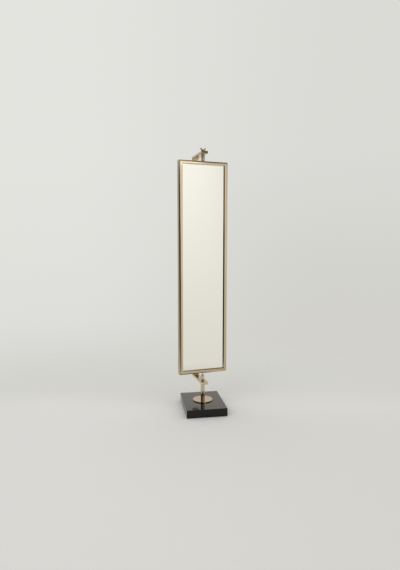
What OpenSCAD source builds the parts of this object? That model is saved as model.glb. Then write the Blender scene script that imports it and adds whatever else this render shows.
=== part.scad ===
// Free-standing dressing mirror: a stone base, a short post, a C-shaped bracket of flat
// rectangular tube, and a tall framed mirror that swivels between the bracket's two arms.
// Millimetres, +Z up. The origin is on the post's axis, at the height of the floor.
// Mirror and bracket are drawn facing -Y and are then turned together about the post.

/* [Pose at rest] */
// Angle by which bracket and mirror are turned on the post, in degrees
turn = 9; // [-180:1:180]

/* [Stone base] */
// Width of the stone block
base_w = 280; // [200:5:400]
// Depth of the stone block, front to back
base_d = 360; // [240:5:460]
// Thickness of the stone block
base_t = 55; // [44:1:90]
// Chamfer on the edges of the stone block
base_edge = 2; // [0.5:0.5:6]
// Distance of the post's axis behind the middle of the block
post_back = 11; // [0:1:60]
// Thickness of the felt under the block
felt_t = 2; // [1:0.5:5]
// Distance of the felt's edge from the block's edge
felt_inset = 4; // [2:1:20]
// Radius of the felt's corners
felt_r = 6; // [1:1:20]
// Diameter of the recess that holds the nut
recess_d = 44; // [40:1:60]
// Depth of the recess that holds the nut
recess_h = 24; // [20:1:30]

/* [Tie rod] */
// Diameter of the tie rod
rod_d = 10; // [8:1:12]
// Clearance on radius around the rod, where it only passes through
rod_play = 0.4; // [0.2:0.1:1]
// Diameter of the washer under the block
base_washer_d = 36; // [30:1:39]
// Thickness of the washer under the block
base_washer_t = 3; // [2:0.5:4]
// Width of the hexagon nut across its flats
base_nut_af = 17; // [15:1:22]
// Height of the hexagon nut
base_nut_h = 8; // [6:1:10]
// Length of rod that shows below the nut
rod_tail = 4; // [1:1:5]

/* [Disc and post] */
// Diameter of the brass disc on the stone
disc_d = 141; // [80:1:190]
// Thickness of the brass disc
disc_t = 6; // [3:0.5:12]
// Radius on the upper edge of the disc
disc_edge = 1.5; // [0.5:0.5:2.5]
// Diameter of the post
post_d = 28; // [24:1:40]
// Wall of the post's tube
post_wall = 2; // [1.5:0.5:3]
// Length of the post between disc and lower arm
post_len = 119; // [60:1:300]
// Length of each plug inside the post
plug_len = 22; // [10:1:28]
// Diameter of the foot plug's spigot in the disc
spigot_d = 16; // [14:1:18]

/* [Bracket tube] */
// Width of the bracket's tube
bar_w = 46; // [36:1:70]
// Thickness of the bracket's tube
bar_t = 18; // [12:1:26]
// Wall of the bracket's tube
bar_wall = 2; // [1.5:0.5:3]
// Radius on the long edges of the bracket's tube
bar_r = 2.5; // [2:0.5:3.5]
// Distance from the pivot axis to the outer face of the upright
reach = 183; // [170:1:260]
// Overhang of the lower arm in front of the pivot axis
lower_front = 52; // [30:1:90]
// Overhang of the upper arm in front of the pivot axis
upper_front = 36; // [30:1:90]
// Thickness of the plate that closes an arm's front end
cap_t = 2; // [1:0.5:4]
// Depth of a cap's plug inside the tube
cap_plug = 8; // [4:1:12]
// Outer diameter of the sleeves that pass through the arms
sleeve_d = 16; // [15:1:18]

/* [Pivots] */
// Gap between the lower arm and the frame
lower_gap = 56; // [50:1:90]
// Outer diameter of the lower pivot's socket
socket_d = 22.5; // [20:0.5:30]
// Height of the lower pivot's socket
socket_h = 38; // [34:1:44]
// Depth of the socket's thread on the tie rod
socket_thread = 14; // [10:1:15]
// Depth of the socket's bore for the mirror's pin
socket_bore = 18; // [14:1:18]
// Diameter of the mirror's lower pin
pin_d = 9; // [7:0.5:10]
// Thickness of the disc that the pin stands on
thrust_t = 1.5; // [1:0.5:3]
// Outer diameter of the spacer above the frame
spacer_d = 24; // [20:0.5:30]
// Height of the spacer above the frame
spacer_h = 45; // [30:1:80]
// Diameter of the upper stud
stud_d = 10; // [8:1:12]
// Thickness of the slip washers
slip_t = 1; // [0.5:0.5:2]
// Chamfer on turned ends
turned_edge = 0.8; // [0.2:0.2:1.2]
// Clearance on radius of a pin or stud that turns in its bore
run_play = 0.05; // [0.02:0.01:0.1]
// Clearance between flat faces that slide on each other
slide_gap = 0.05; // [0.02:0.01:0.1]
// Clearance on radius of pieces that are fixed in each other
fit_play = 0.05; // [0.02:0.01:0.1]

/* [Mirror frame] */
// Width of the mirror's frame
mirror_w = 350; // [260:2:420]
// Height of the mirror's frame
mirror_h = 1472; // [800:2:1700]
// Depth of the frame, front to back
frame_d = 46; // [42:1:60]
// Width of the frame's front face
face_w = 24; // [18:1:34]
// Depth from the front face to the back of the frame's inner lip
lip_d = 12; // [6:1:16]
// Thickness of the frame's folded sheet
sheet_t = 2; // [1:0.5:2]
// Radius of the fold between the frame's outer side and its front face
corner_r = 10; // [4:1:12]
// Radius of the fold between the frame's front face and its inner lip
lip_r = 2.5; // [2.5:0.5:4]

/* [Glass and board] */
// Thickness of the mirror glass
glass_t = 5; // [3:1:6]
// Thickness of the backing board
board_t = 6; // [3:1:8]
// Thickness of the strip between lip and glass
seal_t = 1; // [0.5:0.5:2]
// Width of the strip between lip and glass
seal_w = 3; // [2:0.5:5]
// Clearance between the glass edge and the blocks
glass_play = 0.25; // [0.1:0.05:1]

/* [Blocks and retainers] */
// Height of the blocks between frame and glass edge
block_h = 10; // [8:1:11]
// Length of an edge block
block_len = 30; // [20:1:40]
// Number of edge blocks on each long side
side_blocks = 4; // [2:1:6]
// Distance of the top and bottom edge blocks from the middle
end_block_x = 96; // [70:1:100]
// Distance from a corner to the nearest edge block's middle
corner_pitch = 130; // [60:5:200]
// Length of a pivot block
pivot_block_len = 64; // [40:1:80]
// Distance of a pivot block behind the fold at the front face
pivot_block_in = 1; // [0:1:3]
// Depth of a pivot block, front to back
pivot_block_d = 30; // [24:1:34]
// Thickness of a retainer plate
retainer_t = 1.5; // [1:0.5:2]
// Width of a retainer plate
retainer_w = 16; // [12:1:20]
// Overlap of a retainer plate on the board
retainer_lap = 12; // [8:1:20]
// Diameter of a retainer screw
screw_d = 4; // [3:0.5:5]
// Diameter of a retainer screw's head
head_d = 7.5; // [6:0.5:8]
// Height of a retainer screw's head
head_h = 2.2; // [1.5:0.1:3]
// Length of a retainer screw below its head
screw_len = 8; // [5:1:9]
// Depth of a screw's hole past its tip
screw_rest = 1; // [0.5:0.5:2]

/* [Wing nut] */
// Diameter of the washer under the wing nut
clamp_washer_d = 24; // [20:1:30]
// Thickness of the washer under the wing nut
clamp_washer_t = 2; // [1:0.5:3]
// Diameter of the wing nut's hub at its foot
hub_d = 18; // [16:1:24]
// Diameter of the wing nut's hub at its top
hub_top_d = 14.5; // [14:0.5:16]
// Height of the wing nut's hub
hub_h = 12; // [9:1:16]
// Distance between the tips of the wings
wing_span = 44; // [38:1:60]
// Height of the wings above the foot of the hub
wing_h = 25; // [20:1:34]
// Radius of a wing's round tip
tip_r = 5.5; // [4:0.5:8]
// Thickness of a wing at its tip
tip_t = 4; // [3:0.5:6]
// Radius of a wing's root
root_r = 4.5; // [3:0.5:5]
// Distance of the root's centre inside the hub's wall
root_in = 1; // [0:0.5:2]
// Thickness of a wing at its root
root_t = 7; // [5:0.5:9]
// Length of stud above the hub
stud_tail = 2; // [0:1:6]

/* [Hidden] */
$fn = 96;
// Overrun of a cut past the faces that it opens
cut = 1;

// Heights of the base and the post
block_bottom = felt_t;
block_top = block_bottom + base_t;
disc_top = block_top + disc_t;
post_top = disc_top + post_len;
recess_top = block_bottom + recess_h;
base_nut_bottom = recess_top - base_washer_t - base_nut_h;
rod_bottom = base_nut_bottom - rod_tail;
rod_hole_r = rod_d / 2 + rod_play;

// Heights of the bracket and the lower pivot
lower_arm_bottom = post_top + slip_t + slide_gap;
lower_arm_top = lower_arm_bottom + bar_t;
socket_bottom = lower_arm_top + slide_gap + slip_t;
socket_floor = socket_bottom + socket_h - socket_bore;
rod_top = socket_bottom + socket_thread - turned_edge;
pin_bottom = socket_floor + thrust_t + slide_gap;

// Heights of the mirror and the upper pivot
frame_bottom = lower_arm_top + lower_gap;
frame_top = frame_bottom + mirror_h;
frame_mid = (frame_bottom + frame_top) / 2;
spacer_top = frame_top + spacer_h;
upper_arm_bottom = spacer_top + slip_t + slide_gap;
upper_arm_top = upper_arm_bottom + bar_t;
nut_bottom = upper_arm_top + clamp_washer_t + slide_gap;
stud_top = nut_bottom + hub_h + stud_tail;

// Depths from the frame's front face, and distances from its outer edge
front_y = -frame_d / 2;
glass_front = lip_d + seal_t;
board_front = glass_front + glass_t;
board_back = board_front + board_t;
block_edge = sheet_t + block_h;
glass_edge = block_edge + glass_play;
side_pitch = (mirror_h - 2 * corner_pitch) / (side_blocks - 1);
screw_s = sheet_t + block_h / 2;
screw_hole_r = screw_d / 2 + fit_play;

// Rectangle with round corners, centred
module round_rect(w, h, r) {
  square([w - 2 * r, h], center = true);
  square([w, h - 2 * r], center = true);
  for (x = [-1, 1], y = [-1, 1])
    translate([x * (w / 2 - r), y * (h / 2 - r)])
      circle(r);
}

// Rectangle with chamfered corners, centred
module chamfer_rect(w, h, c) {
  polygon([
    [-w / 2 + c, -h / 2], [w / 2 - c, -h / 2], [w / 2, -h / 2 + c], [w / 2, h / 2 - c],
    [w / 2 - c, h / 2], [-w / 2 + c, h / 2], [-w / 2, h / 2 - c], [-w / 2, -h / 2 + c]
  ]);
}

// Block with every edge chamfered, centred
module chamfer_block(w, d, h, c) {
  intersection() {
    linear_extrude(h, center = true) chamfer_rect(w, d, c);
    rotate([90, 0, 0]) linear_extrude(d, center = true) chamfer_rect(w, h, c);
    rotate([90, 0, 90]) linear_extrude(w, center = true) chamfer_rect(d, h, c);
  }
}

// Flat ring that stands on z = 0
module ring(outer_r, inner_r, h) {
  difference() {
    cylinder(h = h, r = outer_r);
    translate([0, 0, -cut]) cylinder(h = h + 2 * cut, r = inner_r);
  }
}

// Turned piece with both ends chamfered, which stands on z = 0
module turned(r, h, c) {
  rotate_extrude()
    polygon([[0, 0], [r - c, 0], [r, c], [r, h - c], [r - c, h], [0, h]]);
}

// Prism across the bracket, from an outline in Y and Z
module side_prism(w, points) {
  rotate([90, 0, 90]) linear_extrude(w, center = true) polygon(points);
}

// Everything on the bracket and the mirror is turned on the post
module turned_on_post() {
  rotate([0, 0, turn]) children();
}

module base_block() color("#23231f") {
  difference() {
    translate([0, -post_back, block_bottom + base_t / 2])
      chamfer_block(base_w, base_d, base_t, base_edge);
    translate([0, 0, block_bottom - cut]) cylinder(h = base_t + 2 * cut, r = rod_hole_r);
    translate([0, 0, block_bottom - cut]) cylinder(h = recess_h + cut, r = recess_d / 2);
  }
}

module felt_pad() color("#2b2a28")
  translate([0, -post_back, 0])
    linear_extrude(felt_t)
      round_rect(base_w - 2 * felt_inset, base_d - 2 * felt_inset, felt_r);

module flange_disc() color("#c9ad8c") translate([0, 0, block_top]) {
  difference() {
    rotate_extrude() {
      square([disc_d / 2, disc_t - disc_edge]);
      square([disc_d / 2 - disc_edge, disc_t]);
      translate([disc_d / 2 - disc_edge, disc_t - disc_edge]) intersection() {
        circle(disc_edge);
        square(disc_edge);
      }
    }
    translate([0, 0, -cut]) cylinder(h = disc_t + 2 * cut, r = spigot_d / 2 + fit_play);
  }
}

module post_tube() color("#b39d72")
  translate([0, 0, disc_top]) ring(post_d / 2, post_d / 2 - post_wall, post_len);

// Plug inside the post, with the rod's hole through it and a spigot below where one is wanted
module post_plug(spigot_h) {
  difference() {
    union() {
      cylinder(h = plug_len, r = post_d / 2 - post_wall - fit_play);
      translate([0, 0, -spigot_h]) cylinder(h = spigot_h + cut, r = spigot_d / 2);
    }
    translate([0, 0, -spigot_h - cut]) cylinder(h = plug_len + spigot_h + 2 * cut, r = rod_hole_r);
  }
}

module post_foot_plug() color("#a08a5e")
  translate([0, 0, disc_top]) post_plug(disc_t);

module post_head_plug() color("#a08a5e")
  translate([0, 0, post_top - plug_len]) post_plug(0);

module tie_rod() color("#8d8f92")
  translate([0, 0, rod_bottom]) turned(rod_d / 2, rod_top - rod_bottom, turned_edge);

module base_washer() color("#8d8f92")
  translate([0, 0, recess_top - base_washer_t]) ring(base_washer_d / 2, rod_hole_r, base_washer_t);

module base_nut() color("#8d8f92") translate([0, 0, base_nut_bottom]) {
  difference() {
    cylinder(h = base_nut_h, r = base_nut_af / sqrt(3), $fn = 6);
    translate([0, 0, -cut]) cylinder(h = base_nut_h + 2 * cut, r = rod_d / 2 + fit_play);
  }
}

module lower_slip_washer() color("#d8d4c4")
  translate([0, 0, post_top]) ring(post_d / 2 - turned_edge, rod_hole_r, slip_t);

module upper_slip_washer() color("#d8d4c4")
  translate([0, 0, lower_arm_top + slide_gap]) ring(socket_d / 2 - turned_edge, rod_hole_r, slip_t);

module pivot_socket() color("#b8a478") translate([0, 0, socket_bottom]) {
  difference() {
    turned(socket_d / 2, socket_h, turned_edge);
    translate([0, 0, -cut]) cylinder(h = socket_thread + cut, r = rod_d / 2 + fit_play);
    translate([0, 0, socket_h - socket_bore]) cylinder(h = socket_bore + cut, r = pin_d / 2 + run_play);
  }
}

module thrust_disc() color("#8c6a3c")
  translate([0, 0, socket_floor]) cylinder(h = thrust_t, r = pin_d / 2 - fit_play);

// Straight length of the bracket's tube along Z, from z = 0
module bracket_tube(len) {
  linear_extrude(len) difference() {
    round_rect(bar_w, bar_t, bar_r);
    square([bar_w - 2 * bar_wall, bar_t - 2 * bar_wall], center = true);
  }
}

// Cut along the mitre at a corner of the bracket. The mitre runs from the inner corner
// at [y_in, z_in] to the outer one, dy and dz away, and side picks what is cut off.
module mitre_cut(y_in, z_in, dy, dz, side) {
  over = cut / bar_t;
  a = [y_in - over * dy, z_in - over * dz];
  b = [y_in + (1 + over) * dy, z_in + (1 + over) * dz];
  side_prism(bar_w + 2 * cut, [a, b, side > 0 ? [b.x, a.y] : [a.x, b.y]]);
}

// Arm from its front end to the mitre, with its lower face at z = bottom
module arm(front, bottom, dz, z_in) {
  difference() {
    translate([0, -front + cap_t, bottom + bar_t / 2])
      rotate([-90, 0, 0]) bracket_tube(front - cap_t + reach);
    mitre_cut(reach - bar_t, z_in, bar_t, dz, 1);
    translate([0, 0, bottom - cut]) cylinder(h = bar_t + 2 * cut, r = sleeve_d / 2 + fit_play);
  }
}

module lower_arm() color("#b39d72") turned_on_post()
  arm(lower_front, lower_arm_bottom, -bar_t, lower_arm_top);

module upper_arm() color("#b39d72") turned_on_post()
  arm(upper_front, upper_arm_bottom, bar_t, upper_arm_bottom);

module upright() color("#b39d72") turned_on_post() {
  difference() {
    translate([0, reach - bar_t / 2, lower_arm_bottom])
      bracket_tube(upper_arm_top - lower_arm_bottom);
    mitre_cut(reach - bar_t, lower_arm_top, bar_t, -bar_t, -1);
    mitre_cut(reach - bar_t, upper_arm_bottom, bar_t, bar_t, -1);
  }
}

// Cap for an arm's front end: a plate with a plug behind it
module arm_cap(front, bottom) {
  plug_w = bar_w - 2 * bar_wall - 2 * fit_play;
  plug_t = bar_t - 2 * bar_wall - 2 * fit_play;
  translate([0, -front, bottom + bar_t / 2]) rotate([-90, 0, 0]) {
    linear_extrude(cap_t) round_rect(bar_w, bar_t, bar_r);
    translate([-plug_w / 2, -plug_t / 2, 0]) cube([plug_w, plug_t, cap_t + cap_plug]);
  }
}

module lower_arm_cap() color("#b8a478") turned_on_post()
  arm_cap(lower_front, lower_arm_bottom);

module upper_arm_cap() color("#b8a478") turned_on_post()
  arm_cap(upper_front, upper_arm_bottom);

module lower_arm_sleeve() color("#a08a5e")
  translate([0, 0, lower_arm_bottom]) ring(sleeve_d / 2, rod_d / 2 + run_play, bar_t);

module upper_arm_sleeve() color("#a08a5e")
  translate([0, 0, upper_arm_bottom]) ring(sleeve_d / 2, stud_d / 2 + run_play, bar_t);

module clamp_washer() color("#b8a478")
  translate([0, 0, upper_arm_top]) ring(clamp_washer_d / 2, stud_d / 2 + rod_play, clamp_washer_t);

// Section of the frame: x runs inwards from the outer edge, y runs back from the front face.
// A wide fold joins the outer side to the front face, and a tight one joins that to the lip.
module frame_section() {
  difference() {
    union() {
      translate([0, corner_r]) square([sheet_t, frame_d - corner_r]);
      translate([corner_r, 0]) square([face_w - corner_r - lip_r, lip_d]);
      translate([corner_r, lip_r]) square([face_w - corner_r, lip_d - lip_r]);
      translate([face_w - lip_r, lip_r]) circle(lip_r);
      translate([corner_r, corner_r]) intersection() {
        circle(corner_r);
        translate([-corner_r, -corner_r]) square(corner_r + cut);
      }
    }
    translate([sheet_t, corner_r]) square([face_w - 2 * sheet_t, frame_d]);
    translate([corner_r, sheet_t]) square([face_w - sheet_t - corner_r, frame_d]);
    translate([corner_r, corner_r]) circle(corner_r - sheet_t);
  }
}

// One mitred member of the frame, along Z and centred on z = 0
module frame_member(len) {
  difference() {
    linear_extrude(len, center = true) frame_section();
    for (end = [0, 1]) mirror([0, 0, end])
      rotate([90, 0, 0]) translate([0, 0, -frame_d - cut])
        linear_extrude(frame_d + 2 * cut)
          polygon([
            [-cut, len / 2 + cut], [face_w + cut, len / 2 - face_w - cut],
            [face_w + cut, len / 2 + cut]
          ]);
  }
}

module frame_side() {
  translate([-mirror_w / 2, front_y, frame_mid]) frame_member(mirror_h);
}

module frame_left() color("#b7a074") turned_on_post() frame_side();

module frame_right() color("#b7a074") turned_on_post() mirror([1, 0, 0]) frame_side();

// Top or bottom member, with its hole on the pivot axis. It is drawn as the bottom one.
module frame_rail(hole_r) {
  difference() {
    translate([0, front_y, 0]) rotate([0, -90, 0]) frame_member(mirror_w);
    translate([0, 0, -cut]) cylinder(h = sheet_t + 2 * cut, r = hole_r);
  }
}

module frame_bottom_rail() color("#b7a074") turned_on_post()
  translate([0, 0, frame_bottom]) frame_rail(pin_d / 2 + fit_play);

module frame_top_rail() color("#b7a074") turned_on_post()
  translate([0, 0, frame_top]) mirror([0, 0, 1]) frame_rail(stud_d / 2 + fit_play);

// Flat panel inside the frame, whose edge lies s inside the frame's outer edge
module panel(s, depth, t) {
  translate([-mirror_w / 2 + s, front_y + depth, frame_bottom + s])
    cube([mirror_w - 2 * s, t, mirror_h - 2 * s]);
}

module mirror_glass() color("#dfe3e0") turned_on_post() panel(glass_edge, glass_front, glass_t);

module backing_board() color("#3d2c1e") turned_on_post() panel(glass_edge, board_front, board_t);

// One strip along each of the frame's inner edges; the long ones run from corner to corner
module glass_seal() color("#4a4036") turned_on_post() {
  s = face_w - seal_w;
  for (side = [0, 1]) mirror([side, 0, 0])
    translate([-mirror_w / 2 + s, front_y + lip_d, frame_bottom + s])
      cube([seal_w, seal_t, mirror_h - 2 * s]);
  for (end = [0, 1]) translate([0, 0, frame_mid]) mirror([0, 0, end])
    translate([-mirror_w / 2 + face_w, front_y + lip_d, -mirror_h / 2 + s])
      cube([mirror_w - 2 * face_w, seal_t, seal_w]);
}

// Places children at every edge block, with x inwards from the frame's outer edge,
// y back from its front face, and z along the edge from the block's middle
module at_edge_blocks() {
  for (side = [0, 1], i = [0 : side_blocks - 1]) mirror([side, 0, 0])
    translate([-mirror_w / 2, front_y, frame_bottom + corner_pitch + i * side_pitch])
      children();
  for (end = [0, 1], x = [-1, 1])
    translate([0, 0, frame_mid]) mirror([0, 0, end])
      translate([x * end_block_x, front_y, -mirror_h / 2]) rotate([0, -90, 0])
        children();
}

module edge_blocks() color("#9a8a66") turned_on_post() at_edge_blocks() {
  difference() {
    translate([sheet_t, glass_front, -block_len / 2]) cube([block_h, board_back - glass_front, block_len]);
    translate([screw_s, board_back + cut, 0]) rotate([90, 0, 0])
      cylinder(h = screw_len - retainer_t + screw_rest + cut, r = screw_hole_r);
  }
}

module retainers() color("#a8aaab") turned_on_post() at_edge_blocks() {
  len = block_edge - sheet_t + retainer_lap;
  difference() {
    translate([sheet_t + len / 2, board_back, 0]) rotate([-90, 0, 0])
      linear_extrude(retainer_t) round_rect(len, retainer_w, retainer_t);
    translate([screw_s, board_back - cut, 0]) rotate([-90, 0, 0])
      cylinder(h = retainer_t + 2 * cut, r = screw_hole_r);
  }
}

module retainer_screws() color("#a8aaab") turned_on_post() at_edge_blocks() {
  translate([screw_s, board_back + retainer_t, 0]) {
    rotate([90, 0, 0]) cylinder(h = screw_len, r = screw_d / 2);
    rotate([-90, 0, 0]) cylinder(h = head_h, r1 = head_d / 2, r2 = head_d / 2 - head_h / 2);
  }
}

// Block inside the frame on the pivot axis, drawn as the bottom one, with its thread
module pivot_block(thread_r) {
  difference() {
    translate([-pivot_block_len / 2, front_y + corner_r + pivot_block_in, sheet_t])
      cube([pivot_block_len, pivot_block_d, block_h]);
    translate([0, 0, sheet_t - cut]) cylinder(h = block_h + 2 * cut, r = thread_r + fit_play);
  }
}

module lower_pivot_block() color("#9a8a66") turned_on_post()
  translate([0, 0, frame_bottom]) pivot_block(pin_d / 2);

module upper_pivot_block() color("#9a8a66") turned_on_post()
  translate([0, 0, frame_top]) mirror([0, 0, 1]) pivot_block(stud_d / 2);

module lower_pin() color("#8f7c52")
  translate([0, 0, pin_bottom])
    turned(pin_d / 2, frame_bottom + block_edge - turned_edge - pin_bottom, turned_edge);

module upper_stud() color("#a08a5e")
  translate([0, 0, frame_top - block_edge + turned_edge])
    turned(stud_d / 2, stud_top - frame_top + block_edge - turned_edge, turned_edge);

module upper_spacer() color("#b8a478") translate([0, 0, frame_top]) {
  difference() {
    turned(spacer_d / 2, spacer_h, turned_edge);
    translate([0, 0, -cut]) cylinder(h = spacer_h + 2 * cut, r = stud_d / 2 + fit_play);
  }
}

module stud_slip_washer() color("#d8d4c4")
  translate([0, 0, spacer_top]) ring(spacer_d / 2 - turned_edge, stud_d / 2 + rod_play, slip_t);

// Round blob that a wing is stretched between, flattened across the wing
module wing_blob(x, z, r, t) {
  translate([x, 0, z]) scale([1, t / (2 * r), 1]) sphere(r, $fn = 32);
}

module wing() {
  hull() {
    wing_blob(hub_top_d / 2 - root_in, hub_h / 2, root_r, root_t);
    wing_blob(wing_span / 2 - tip_r, wing_h - tip_r, tip_r, tip_t);
  }
}

module wing_nut() color("#b3a988") turned_on_post() translate([0, 0, nut_bottom]) {
  difference() {
    union() {
      rotate_extrude()
        polygon([
          [0, 0], [hub_d / 2 - turned_edge, 0], [hub_d / 2, turned_edge],
          [hub_d / 2, hub_h / 5], [hub_top_d / 2, hub_h / 2], [hub_top_d / 2, hub_h - turned_edge],
          [hub_top_d / 2 - turned_edge, hub_h], [0, hub_h]
        ]);
      wing();
      mirror([1, 0, 0]) wing();
    }
    translate([0, 0, -cut]) cylinder(h = wing_h + 2 * cut, r = stud_d / 2 + run_play);
  }
}

base_block();
felt_pad();
flange_disc();
post_tube();
post_foot_plug();
post_head_plug();
tie_rod();
base_washer();
base_nut();
lower_slip_washer();
upper_slip_washer();
pivot_socket();
thrust_disc();
lower_arm();
upright();
upper_arm();
lower_arm_cap();
upper_arm_cap();
lower_arm_sleeve();
upper_arm_sleeve();
clamp_washer();
frame_left();
frame_right();
frame_top_rail();
frame_bottom_rail();
mirror_glass();
glass_seal();
backing_board();
edge_blocks();
retainers();
retainer_screws();
lower_pivot_block();
upper_pivot_block();
lower_pin();
upper_stud();
upper_spacer();
stud_slip_washer();
wing_nut();
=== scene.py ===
"""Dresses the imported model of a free-standing dressing mirror and sets it in a plain studio."""

import logging
import math
from collections.abc import Callable, Sequence
from dataclasses import dataclass, field
from enum import Enum

import bmesh
import bpy
from mathutils import Matrix, Vector


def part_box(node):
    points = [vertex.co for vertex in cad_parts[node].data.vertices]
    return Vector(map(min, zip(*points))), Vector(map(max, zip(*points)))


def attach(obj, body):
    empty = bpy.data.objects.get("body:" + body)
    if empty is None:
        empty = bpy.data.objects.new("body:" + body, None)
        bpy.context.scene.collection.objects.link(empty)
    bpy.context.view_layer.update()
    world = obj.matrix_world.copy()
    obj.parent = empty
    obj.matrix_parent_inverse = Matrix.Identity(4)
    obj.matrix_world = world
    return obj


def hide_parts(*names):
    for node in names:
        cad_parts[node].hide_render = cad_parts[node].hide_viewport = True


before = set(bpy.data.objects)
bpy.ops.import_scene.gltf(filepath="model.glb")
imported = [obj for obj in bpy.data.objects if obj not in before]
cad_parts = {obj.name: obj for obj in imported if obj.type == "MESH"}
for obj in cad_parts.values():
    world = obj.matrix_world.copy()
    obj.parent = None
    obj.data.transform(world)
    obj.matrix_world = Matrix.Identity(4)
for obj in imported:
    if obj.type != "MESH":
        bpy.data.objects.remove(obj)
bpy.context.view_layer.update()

LOG = logging.getLogger("dressing_mirror")
MM = 0.001

Pair = tuple[float, float]
Outline = list[Pair]
Colour = tuple[float, float, float, float]
Tones = tuple[Pair, ...]
Hues = tuple[tuple[float, str], ...]
Ring = list[Vector]
WorkMesh = bmesh.types.BMesh
Piece = bpy.types.Object
Tree = bpy.types.NodeTree
Socket = bpy.types.NodeSocket

# How far mirror and bracket are turned on the base.
TURN = math.radians(9.0)
# Matrix of a piece that is made where it belongs.
IN_PLACE = Matrix.Identity(4)
# Points closer than this are one point.
SAME_POINT = 1e-7
# Radius at the edges of turned and drawn pieces.
BROKEN_EDGE = 0.5 * MM
# Depth of the rings cut into turned pieces, and their distance from the ends.
GROOVE = 0.6 * MM
GROOVE_AT = 4 * MM


def linear(code: str) -> Colour:
    """Turns an sRGB hex colour into Blender's linear one.

    Args:
        code: six hex digits, with or without a leading #.

    Returns:
        Linear red, green and blue, with 1 as the fourth channel.
    """
    digits = code.lstrip("#")
    parts = [int(digits[i : i + 2], 16) / 255 for i in (0, 2, 4)]
    red, green, blue = (p / 12.92 if p <= 0.04045 else ((p + 0.055) / 1.055) ** 2.4 for p in parts)
    return red, green, blue, 1.0


def per_metre(millimetres: float) -> float:
    """Texture scale at which one cell of a pattern is so many millimetres across."""
    return 1 / (millimetres * MM)


def grey(level: float) -> Colour:
    """A linear grey."""
    return level, level, level, 1.0


def add_node(
    tree: Tree,
    kind: str,
    sockets: dict[str | int, object] | None = None,
    ramp: Sequence[tuple[float, Colour]] = (),
    **settings: object,
) -> bpy.types.Node:
    """Adds one node with its settings and links.

    Args:
        tree: the node tree that gets the node.
        kind: Blender's name of the node type.
        sockets: for each input, either the socket that feeds it or its constant value.
        ramp: for a colour ramp, its stops as (position, colour).
        **settings: the node's own properties.

    Returns:
        The new node.
    """
    node = tree.nodes.new(kind)
    for key, value in settings.items():
        setattr(node, key, value)
    for key, value in (sockets or {}).items():
        if isinstance(value, bpy.types.NodeSocket):
            tree.links.new(value, node.inputs[key])
        else:
            node.inputs[key].default_value = value
    if ramp:
        stops = node.color_ramp.elements
        while len(stops) < len(ramp):
            stops.new(0.5)
        for stop, (position, colour) in zip(stops, ramp):
            stop.position = position
            stop.color = colour
    return node


class Grain(Enum):
    """The way that polishing or sawing marks run, as the stretch of their pattern."""

    UP = (1.0, 1.0, 0.03)
    ACROSS = (0.03, 1.0, 1.0)
    DEPTH = (1.0, 0.03, 1.0)
    ROUND = (0.02, 0.02, 1.0)
    EVEN = (1.0, 1.0, 1.0)


@dataclass(frozen=True)
class Finish:
    """What a surface is made of and how it was worked. Subclasses fill in the shader.

    Attributes:
        name: the material and its working.
        colour: its main colour.
        roughness: how much it blurs what it mirrors.
        turned: how far its pattern is turned round the z axis, to be square to the piece.
    """

    name: str
    colour: str
    roughness: float
    turned: float = 0.0

    def material(self) -> bpy.types.Material:
        """Makes the material, or returns the one already made under this name.

        Returns:
            The material with its node tree.
        """
        made = bpy.data.materials.get(self.name)
        if made is not None and made.get("dressed"):
            return made
        made = bpy.data.materials.new(self.name)
        made["dressed"] = True
        made.use_nodes = True
        tree = made.node_tree
        tree.nodes.clear()
        coordinates = add_node(tree, "ShaderNodeTexCoord").outputs["Object"]
        square = add_node(
            tree, "ShaderNodeMapping", {"Vector": coordinates, "Rotation": (0.0, 0.0, -self.turned)},
        )
        shader = self.shader(tree, square.outputs["Vector"])
        add_node(tree, "ShaderNodeOutputMaterial", {"Surface": shader})
        return made

    def shader(self, tree: Tree, place: Socket) -> Socket:
        """Builds the surface shader on coordinates in metres that are square to the piece."""
        raise NotImplementedError


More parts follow.
